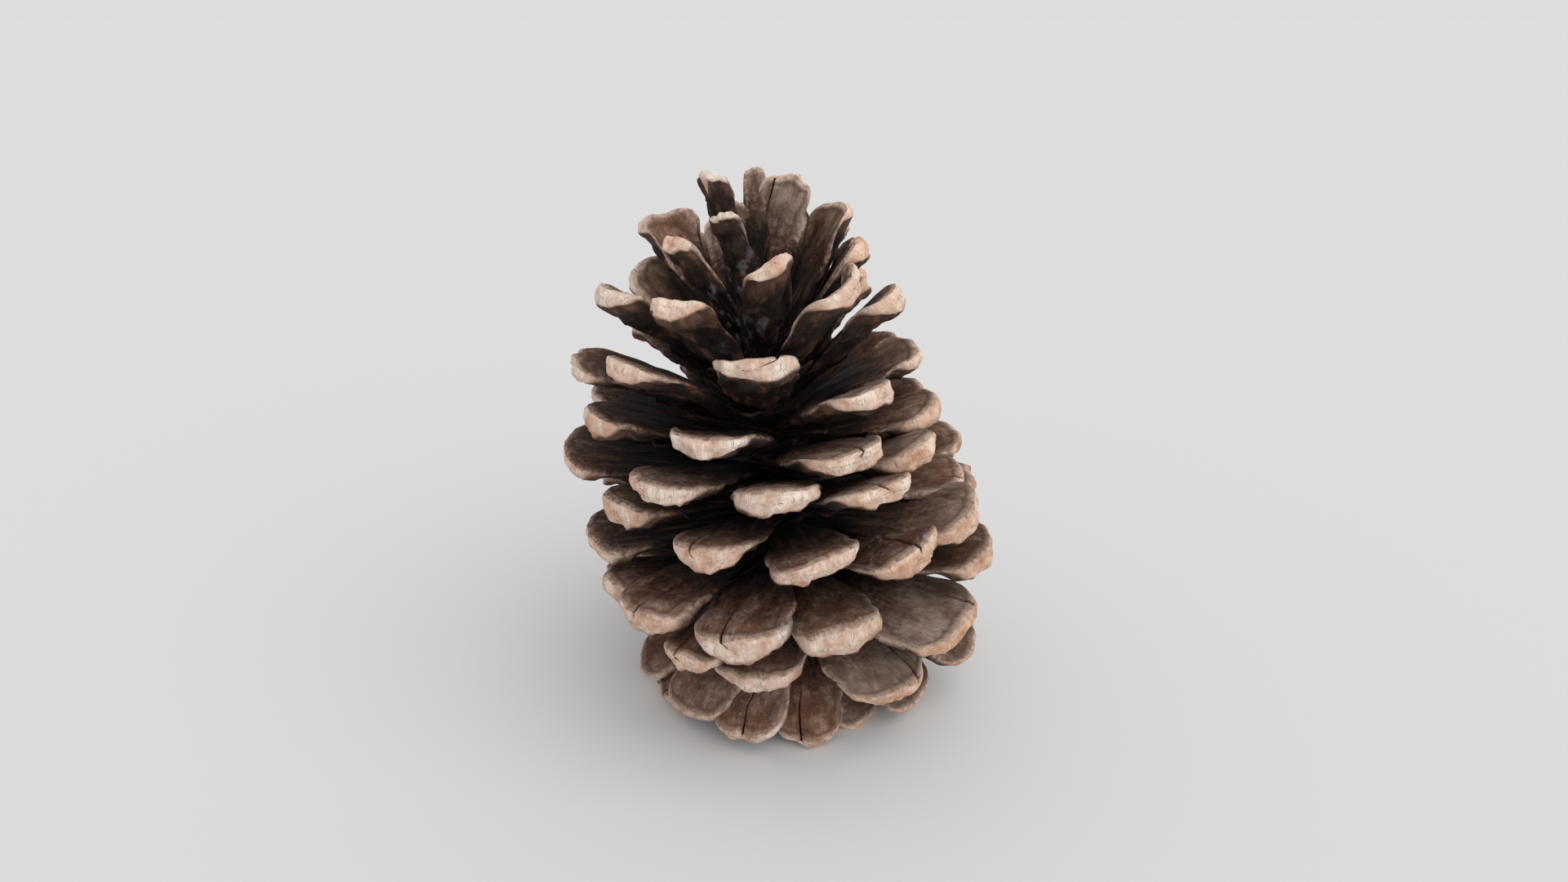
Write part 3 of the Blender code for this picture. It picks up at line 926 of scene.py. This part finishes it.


# The bracts are also dark sheets of painted shade in the gaps near the axis.
bracts = grow_piece("inner_bracts_and_shade_fill", [n for n in grown if n >= FIRST_BRACT], shape_bract)
cut_level(bracts)
print("the bracts have", len(bracts.data.polygons), "faces")

# %% [markdown]
# ## The wood finish
#
# The scales carry four looks at once: grey-brown upper faces with fine grain along them, pale end
# faces with rusty stains, partly painted shade at their lower edge, and fine splits, undersides
# almost black with rusty patches, and roots painted near black with shade. Four materials with hard
# borders would look cut out. One material that blends the looks by the attributes keeps the borders
# soft and broken, as weather leaves them.

# %% Helpers for building the finish
def linear(red, green, blue):
    """A colour as seen on a screen, from 0 to 255, turned into linear values by the usual curve."""
    parts = [v / 255 for v in (red, green, blue)]
    return tuple(p / 12.92 if p <= 0.04045 else ((p + 0.055) / 1.055) ** 2.4 for p in parts) + (1.0,)


class Finish:
    """A material under construction. Most methods add one node and return its output."""

    def __init__(self, name):
        self.material = bpy.data.materials.new(name)
        self.material.use_nodes = True
        self.nodes = self.material.node_tree.nodes
        self.links = self.material.node_tree.links
        self.shader = self.nodes["Principled BSDF"]

    def connect(self, socket, value):
        if isinstance(value, bpy.types.NodeSocket):
            self.links.new(value, socket)
        elif value is not None:
            socket.default_value = value

    def fact(self, name):
        node = self.nodes.new("ShaderNodeAttribute")
        node.attribute_name = name
        return node.outputs["Vector"]

    def split(self, vector):
        node = self.nodes.new("ShaderNodeSeparateXYZ")
        self.connect(node.inputs[0], vector)
        return node.outputs

    def math(self, operation, a, b=None, clamp=False):
        node = self.nodes.new("ShaderNodeMath")
        node.operation = operation
        node.use_clamp = clamp
        self.connect(node.inputs[0], a)
        self.connect(node.inputs[1], b)
        return node.outputs[0]

    def add(self, a, b, clamp=False):
        return self.math("ADD", a, b, clamp)

    def minus(self, a, b):
        return self.math("SUBTRACT", a, b)

    def times(self, a, b):
        return self.math("MULTIPLY", a, b)

    def off_middle(self, value):
        """How far a noise is from its middle value; near 0 this draws thin winding lines."""
        return self.math("ABSOLUTE", self.minus(value, 0.5))

    def stretch(self, vector, scale):
        node = self.nodes.new("ShaderNodeVectorMath")
        node.operation = "MULTIPLY"
        self.connect(node.inputs[0], vector)
        node.inputs[1].default_value = scale
        return node.outputs[0]

    def noise(self, vector, scale=1.0, detail=4.0, roughness=0.55, distortion=0.0):
        node = self.nodes.new("ShaderNodeTexNoise")
        self.connect(node.inputs["Vector"], vector)
        node.inputs["Scale"].default_value = scale
        node.inputs["Detail"].default_value = detail
        node.inputs["Roughness"].default_value = roughness
        node.inputs["Distortion"].default_value = distortion
        return node.outputs["Fac"]

    def fade(self, value, low, high, start=0.0, end=1.0):
        """Start below low, end above high, and a smooth change between them."""
        node = self.nodes.new("ShaderNodeMapRange")
        node.interpolation_type = "SMOOTHSTEP"
        self.connect(node.inputs["Value"], value)
        node.inputs["From Min"].default_value = low
        node.inputs["From Max"].default_value = high
        node.inputs["To Min"].default_value = start
        node.inputs["To Max"].default_value = end
        return node.outputs["Result"]

    def ramp(self, value, *stops):
        node = self.nodes.new("ShaderNodeValToRGB")
        elements = node.color_ramp.elements
        while len(elements) < len(stops):
            elements.new(0.5)
        for element, (place, colour) in zip(elements, stops):
            element.position = place
            element.color = colour
        self.connect(node.inputs[0], value)
        return node.outputs["Color"]

    def mix(self, share, a, b, blend="MIX"):
        node = self.nodes.new("ShaderNodeMix")
        node.data_type = "RGBA"
        node.blend_type = blend
        self.connect(node.inputs["Factor"], share)
        self.connect(node.inputs[6], a)
        self.connect(node.inputs[7], b)
        return node.outputs[2]

    def tinted(self, colour, tint):
        return self.mix(1.0, colour, tint, "MULTIPLY")


print("a warm beige is", [round(v, 3) for v in linear(202, 180, 166)], "in linear values")

# %% [markdown]
# ## Wood of the upper faces
#
# Grain is noise stretched along the scale. It could be an image, but an image repeats and has a
# fixed sharpness. The coordinates come with each scale, in millimetres, and every scale starts far
# from the others, so no two show the same figure. The upper face is brown where it was sheltered
# and grey where rain and sun bleached it. Dark hair lines run along it, and a dark line runs inside
# its pale worn rim.

# %% Mix the upper wood
GRAIN_COLOURS = ((0.36, linear(82, 61, 50)), (0.46, linear(116, 92, 79)),
                 (0.54, linear(140, 117, 103)), (0.66, linear(180, 160, 146)))
WARM_TINT = linear(228, 186, 158)
GREY_GREEN_TINT = linear(232, 233, 222)
HAIR_BROWN = linear(58, 42, 34)
GROOVE_BROWN = linear(64, 46, 37)
RIM_BEIGE = linear(186, 158, 140)
WORN_CREAM = linear(212, 188, 170)
FINE_GRAIN = (3.2, 0.13, 3.2)
BROAD_GRAIN = (0.42, 0.24, 0.42)
MOTTLE_GRAIN = (1.3, 1.0, 1.3)
HAIR_GRAIN = (2.4, 0.1, 2.4)
FINE_WEIGHT, BROAD_WEIGHT, MOTTLE_WEIGHT = 0.24, 0.5, 0.26
BLEACHING = 0.14
TIP_RIM = 0.4


def upper_grain(finish, place, tone, warm, green):
    """Bleached or warm wood with a fine figure, and the noises that make it."""
    fine = finish.noise(finish.stretch(place, FINE_GRAIN), detail=7.0, roughness=0.68)
    broad = finish.noise(finish.stretch(place, BROAD_GRAIN), detail=4.0)
    mottle = finish.noise(finish.stretch(place, MOTTLE_GRAIN), detail=8.0, roughness=0.7)
    figure = finish.add(finish.times(fine, FINE_WEIGHT), finish.times(broad, BROAD_WEIGHT))
    figure = finish.add(figure, finish.times(mottle, MOTTLE_WEIGHT))
    bleach = finish.times(finish.minus(tone, 0.5), BLEACHING)
    colour = finish.ramp(finish.add(figure, bleach), *GRAIN_COLOURS)
    brown = finish.times(finish.fade(warm, 0.1, 1.0), finish.fade(broad, 0.65, 0.4, 0.35, 1.0))
    colour = finish.mix(brown, colour, finish.tinted(colour, WARM_TINT))
    colour = finish.mix(green, colour, finish.tinted(colour, GREY_GREEN_TINT))
    hair = finish.noise(finish.stretch(place, HAIR_GRAIN), detail=3.0, roughness=0.6)
    hair = finish.fade(finish.off_middle(hair), 0.014, 0.002)
    hair = finish.times(hair, finish.fade(mottle, 0.42, 0.62, 0.0, 0.7))
    return finish.mix(hair, colour, HAIR_BROWN), fine, broad, mottle


def upper_rim(finish, colour, rim, fine, broad, mottle, height_share):
    """A dark line inside the rim, a paler band and a worn edge, which is broader near the tip."""
    band = finish.add(rim, finish.fade(broad, 0.2, 0.8, -0.7, 0.7))
    inside = finish.times(finish.fade(band, 0.7, 1.0), finish.fade(band, 1.9, 1.2))
    inside = finish.times(inside, finish.fade(mottle, 0.35, 0.62, 0.05, 0.6))
    colour = finish.mix(inside, colour, GROOVE_BROWN)
    paler = finish.times(finish.fade(band, 1.5, 0.4), finish.fade(fine, 0.35, 0.6, 0.15, 0.45))
    colour = finish.mix(paler, colour, RIM_BEIGE)
    near_rim = finish.times(rim, finish.fade(height_share, 0.18, 0.3, TIP_RIM, 1.0))
    worn = finish.times(finish.fade(near_rim, 0.4, 0.0), finish.fade(mottle, 0.38, 0.6, 0.1, 0.8))
    return finish.mix(worn, colour, WORN_CREAM)


print("the grain is stretched", round(FINE_GRAIN[0] / FINE_GRAIN[1]), "times along the scale")

# %% [markdown]
# ## Wood of the end faces
#
# The end faces are the palest wood: cream, with a peach tone on some, and rust-brown towards the
# lower edge, which is partly stain and partly painted shade. A single pale colour would look like
# clay. Noise in two sizes makes the patches and streaks, the stain and painted shade follow the
# height on the face, and thin lines come from a noise near its middle value, where it draws winding
# threads.

# %% Mix the end wood
END_COLOURS = ((0.34, linear(180, 140, 116)), (0.44, linear(206, 174, 155)),
               (0.52, linear(223, 199, 183)), (0.62, linear(240, 227, 214)))
PEACH_TINT = linear(246, 216, 190)
END_STAIN_AND_SHADE = linear(158, 98, 64)
SPLIT_BROWN = linear(112, 78, 60)
SPECK_GREY = linear(126, 110, 98)
PATCH_GRAIN = (0.4, 0.4, 0.35)
STREAK_GRAIN = (2.8, 2.8, 0.4)
STAIN_GRAIN = (0.9, 0.9, 0.5)
SPLIT_GRAIN = (1.3, 1.3, 0.16)
PATCH_WEIGHT, STREAK_WEIGHT = 0.7, 0.3
STAIN_WANDER = 3.4
LOW_STAIN_AND_SHADE, EDGE_STAIN_AND_SHADE, BLOT_STAIN = 0.65, 0.35, 0.4
SPLIT_STRENGTH = 0.6
SPECK_STRENGTH = 0.45


def end_stain_and_shade(finish, place, step, upper, streak, height_share):
    """Rust-brown below a wandering line and along the lower edge, partly stain and partly painted shade,
    and a few stain blots; weaker near the tip.
    """
    height = finish.split(place)[2]
    uneven = finish.noise(finish.stretch(place, STAIN_GRAIN), detail=5.0, roughness=0.6)
    uneven = finish.minus(finish.times(uneven, STAIN_WANDER), STAIN_WANDER / 2)
    # The rust-brown low on the end face and along its lower edge is partly stain and partly painted shade.
    low = finish.fade(finish.add(height, uneven), -0.7, -2.1)
    edge = finish.times(finish.fade(step, 0.3, 0.0), finish.minus(1.0, upper))
    stain = finish.add(finish.times(low, LOW_STAIN_AND_SHADE), finish.times(edge, EDGE_STAIN_AND_SHADE), clamp=True)
    blot = finish.fade(finish.noise(place, scale=0.5, detail=4.0, roughness=0.6), 0.57, 0.66)
    stain = finish.add(stain, finish.times(blot, BLOT_STAIN), clamp=True)
    stain = finish.times(stain, finish.fade(streak, 0.3, 0.6, 0.45, 0.95))
    return finish.times(stain, finish.fade(height_share, 0.1, 0.35, 0.5, 1.0))


def end_wood(finish, place, step, peach, upper, height_share):
    """Cream wood, stained and with painted shade at the lower edge, with fine upright lines and a few
    specks.
    """
    patch = finish.noise(finish.stretch(place, PATCH_GRAIN), detail=3.0, distortion=0.2)
    streak = finish.noise(finish.stretch(place, STREAK_GRAIN), detail=6.0, roughness=0.65)
    figure = finish.add(finish.times(patch, PATCH_WEIGHT), finish.times(streak, STREAK_WEIGHT))
    figure = finish.add(figure, finish.fade(height_share, 0.45, 0.25, 0.0, 0.05))
    colour = finish.ramp(figure, *END_COLOURS)
    colour = finish.mix(peach, colour, finish.tinted(colour, PEACH_TINT))
    stain = end_stain_and_shade(finish, place, step, upper, streak, height_share)
    colour = finish.mix(stain, colour, END_STAIN_AND_SHADE)
    line = finish.noise(finish.stretch(place, SPLIT_GRAIN), detail=2.0, distortion=0.3)
    line = finish.fade(finish.off_middle(line), 0.012, 0.0)
    split = finish.times(line, finish.fade(patch, 0.47, 0.57))
    colour = finish.mix(finish.times(split, SPLIT_STRENGTH), colour, SPLIT_BROWN)
    speck = finish.fade(finish.noise(place, scale=4.2, detail=4.0, roughness=0.7), 0.58, 0.68)
    return finish.mix(finish.times(speck, SPECK_STRENGTH), colour, SPECK_GREY), streak, split


print("the stain's upper line wanders by", STAIN_WANDER / 2, "mm up and down at most")

# %% [markdown]
# ## Undersides and resin
#
# Below, the wood is almost black with rusty patches, as it never saw the sun. Old resin leaves pale
# specks on some upper faces, and bluish smears on a few stems near the tip. Separate drops would be
# truer for fresh resin, but this is dry and flat, so a change of colour and gloss is enough.

# %% Mix the undersides and the resin
UNDER_COLOURS = ((0.38, linear(18, 12, 10)), (0.53, linear(42, 30, 25)), (0.70, linear(120, 76, 48)))
UNDER_END = linear(122, 90, 72)
UNDER_GRAIN = (0.75, 0.3, 0.75)
SMEAR_GRAIN = (0.9, 0.4, 0.9)
SMEAR_STRENGTH = 0.5


def under_wood(finish, place, share):
    """Near-black wood with rusty patches, a little paler towards the end face."""
    fibre = finish.noise(finish.stretch(place, UNDER_GRAIN), detail=9.0, roughness=0.68, distortion=0.3)
    colour = finish.ramp(fibre, *UNDER_COLOURS)
    near_end = finish.times(finish.fade(share, 0.86, 1.0), finish.fade(fibre, 0.4, 0.6, 0.2, 0.6))
    return finish.mix(near_end, colour, UNDER_END), fibre


def resin_marks(finish, place, resin, upper, share, height_share):
    """Soft pale specks on some upper faces, and bluish smears on stems near the tip."""
    dots = finish.fade(finish.noise(place, scale=1.4, detail=6.0, roughness=0.75), 0.52, 0.66)
    where = finish.fade(finish.noise(place, scale=0.4, detail=2.0), 0.5, 0.62)
    specks = finish.times(dots, finish.times(where, finish.fade(resin, 0.5, 0.9, 0.1, 0.85)))
    specks = finish.times(specks, finish.times(upper, finish.fade(share, 0.5, 0.8)))
    smear = finish.fade(finish.noise(finish.stretch(place, SMEAR_GRAIN), detail=5.0), 0.5, 0.64)
    smear = finish.times(smear, finish.fade(resin, 0.9, 1.0))
    smear = finish.times(smear, finish.fade(height_share, 0.26, 0.2))
    smear = finish.times(smear, finish.fade(share, 0.8, 0.6))
    smear = finish.times(smear, finish.minus(1.0, upper))
    return finish.add(specks, finish.times(smear, SMEAR_STRENGTH), clamp=True)


print("the undersides have", len(UNDER_COLOURS), "colours")

# %% [markdown]
# ## One wood out of all looks
#
# Towards the root the upper wood fades to near black: this is painted shade, for the deep gaps
# between the scales, and brown strands show in the dark. Masks could be painted for this, but the
# named attributes already say where each point is. The same noises that colour the wood also raise
# a shallow bump, so that light catches the grain exactly where its colour changes.

# %% Blend the looks
# The near-black and the root tint are painted shade towards the roots; the brown is that of the strands in
# it.
ROOT_SHADOW_BLACK = linear(11, 8, 7)
ROOT_BROWN = linear(84, 60, 46)
ROOT_SHADE = linear(160, 128, 110)
RESIN_GREY = linear(160, 164, 170)
CRACK_DARK = linear(34, 22, 16)
STRAND_GRAIN = (1.1, 0.12, 1.1)
ROUGHNESS = (0.72, 0.9)
RESIN_GLOSS = 0.3
SHINE = 0.3
SPLIT_DEPTH = 0.3
BUMP_STRENGTH = 0.9
BUMP_DEPTH = 0.00025
SHARP_ANGLE = radians(60)


def paint_shade_to_root(finish, above, place, share, tone, mottle, height_share):
    """Painted shade on the upper wood towards its root, further out on scales that are less bleached."""
    reach = finish.add(share, finish.times(finish.minus(tone, 0.5), 0.4))
    reach = finish.add(reach, finish.fade(height_share, 0.48, 0.68, 0.0, 0.12))
    reach = finish.add(reach, finish.fade(mottle, 0.3, 0.7, -0.1, 0.1))
    # Painted shade: a darker tint towards the root, then near black with brown strands.
    above = finish.mix(finish.fade(reach, 0.6, 1.05, 0.9, 0.0), above, finish.tinted(above, ROOT_SHADE))
    strand = finish.noise(finish.stretch(place, STRAND_GRAIN), detail=6.0, roughness=0.6, distortion=0.2)
    root = finish.mix(finish.fade(strand, 0.48, 0.7), ROOT_SHADOW_BLACK, ROOT_BROWN)
    return finish.mix(finish.fade(reach, 0.46, 0.88), root, above)


def raise_grain(finish, fine, fibre, mottle, streak, split):
    """A shallow bump out of the grains, with the fine splits pressed in."""
    height = finish.add(finish.times(fine, 0.35), finish.times(fibre, 0.4))
    height = finish.add(height, finish.times(mottle, 0.5))
    height = finish.add(height, finish.times(streak, 0.3))
    height = finish.minus(height, finish.times(split, SPLIT_DEPTH))
    bump = finish.nodes.new("ShaderNodeBump")
    bump.inputs["Strength"].default_value = BUMP_STRENGTH
    bump.inputs["Distance"].default_value = BUMP_DEPTH
    finish.connect(bump.inputs["Height"], height)
    finish.connect(finish.shader.inputs["Normal"], bump.outputs["Normal"])


def finish_scales():
    finish = Finish("weathered_scale_wood")
    place = finish.fact("wood_place")
    share, on_end, upper = finish.split(finish.fact("zone"))
    tone, warm, crack = finish.split(finish.fact("wear"))
    rim, step, resin = finish.split(finish.fact("rim"))
    green, peach, height_share = finish.split(finish.fact("tint"))
    above, fine, broad, mottle = upper_grain(finish, place, tone, warm, green)
    above = upper_rim(finish, above, rim, fine, broad, mottle, height_share)
    end, streak, split = end_wood(finish, place, step, peach, upper, height_share)
    below, fibre = under_wood(finish, place, share)
    # Painted shade towards the roots of the upper faces.
    above = paint_shade_to_root(finish, above, place, share, tone, mottle, height_share)
    blade = finish.mix(upper, below, above)
    resin_share = resin_marks(finish, place, resin, upper, share, height_share)
    blade = finish.mix(resin_share, blade, RESIN_GREY)
    colour = finish.mix(on_end, blade, end)
    colour = finish.mix(finish.fade(crack, 0.15, 0.8), colour, CRACK_DARK)
    finish.connect(finish.shader.inputs["Base Color"], colour)
    rough = finish.minus(finish.fade(fine, 0.2, 0.8, *ROUGHNESS), finish.times(resin_share, RESIN_GLOSS))
    finish.connect(finish.shader.inputs["Roughness"], rough)
    finish.shader.inputs["Specular IOR Level"].default_value = SHINE
    raise_grain(finish, fine, fibre, mottle, streak, split)
    return finish.material


wood = finish_scales()
dressing = list(bands.values()) + [axis, bracts]
for thing in dressing:
    thing.data.materials.append(wood)
    thing.data.shade_smooth()
    thing.data.set_sharp_from_angle(angle=SHARP_ANGLE)
print("the wood finish has", len(wood.node_tree.nodes), "nodes")

# %% [markdown]
# ## Floor and light
#
# The photograph shows the cone against plain pale grey, lit softly from all round with a little
# more from the upper right. A wide pale floor and an even white sky give that, and one large soft
# lamp adds the direction. A hard lamp would throw shadows that the photograph doesn't have.

# %% Set the stage
FLOOR_SIZE = 12.0
FLOOR_COLOUR = linear(217, 217, 217)
FLOOR_ROUGHNESS = 0.9
FLOOR_SHINE = 0.1
SKY_COLOUR = (1.0, 1.0, 1.0, 1.0)
SKY_STRENGTH = 0.72
SUN_STRENGTH = 1.4
SUN_SOFTNESS = radians(70)
SUN_TURN = (radians(42), radians(12), radians(30))


def set_floor():
    mesh = bpy.data.meshes.new("floor")
    half = FLOOR_SIZE / 2
    corners = [(-half, -half, 0), (half, -half, 0), (half, half, 0), (-half, half, 0)]
    mesh.from_pydata(corners, [], [(0, 1, 2, 3)])
    floor = bpy.data.objects.new("floor", mesh)
    bpy.context.scene.collection.objects.link(floor)
    paint = Finish("pale_floor")
    paint.shader.inputs["Base Color"].default_value = FLOOR_COLOUR
    paint.shader.inputs["Roughness"].default_value = FLOOR_ROUGHNESS
    paint.shader.inputs["Specular IOR Level"].default_value = FLOOR_SHINE
    mesh.materials.append(paint.material)


def set_light():
    world = bpy.data.worlds.new("soft_sky")
    world.use_nodes = True
    sky = world.node_tree.nodes["Background"]
    sky.inputs["Color"].default_value = SKY_COLOUR
    sky.inputs["Strength"].default_value = SKY_STRENGTH
    bpy.context.scene.world = world
    data = bpy.data.lights.new("soft_lamp", "SUN")
    data.energy = SUN_STRENGTH
    data.angle = SUN_SOFTNESS
    lamp = bpy.data.objects.new("soft_lamp", data)
    lamp.rotation_euler = SUN_TURN
    bpy.context.scene.collection.objects.link(lamp)
    bpy.context.scene.view_settings.view_transform = "Standard"


set_floor()
set_light()
print("the floor is", FLOOR_SIZE, "m wide")

# %% [markdown]
# ## Joining the dressed cone to its solid
#
# The solid stays in the file for collision, hidden. Each visible piece is told which body carries it.

# %% Hand the pieces over
for thing in dressing:
    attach(thing, "root")
    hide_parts("pine_cone")
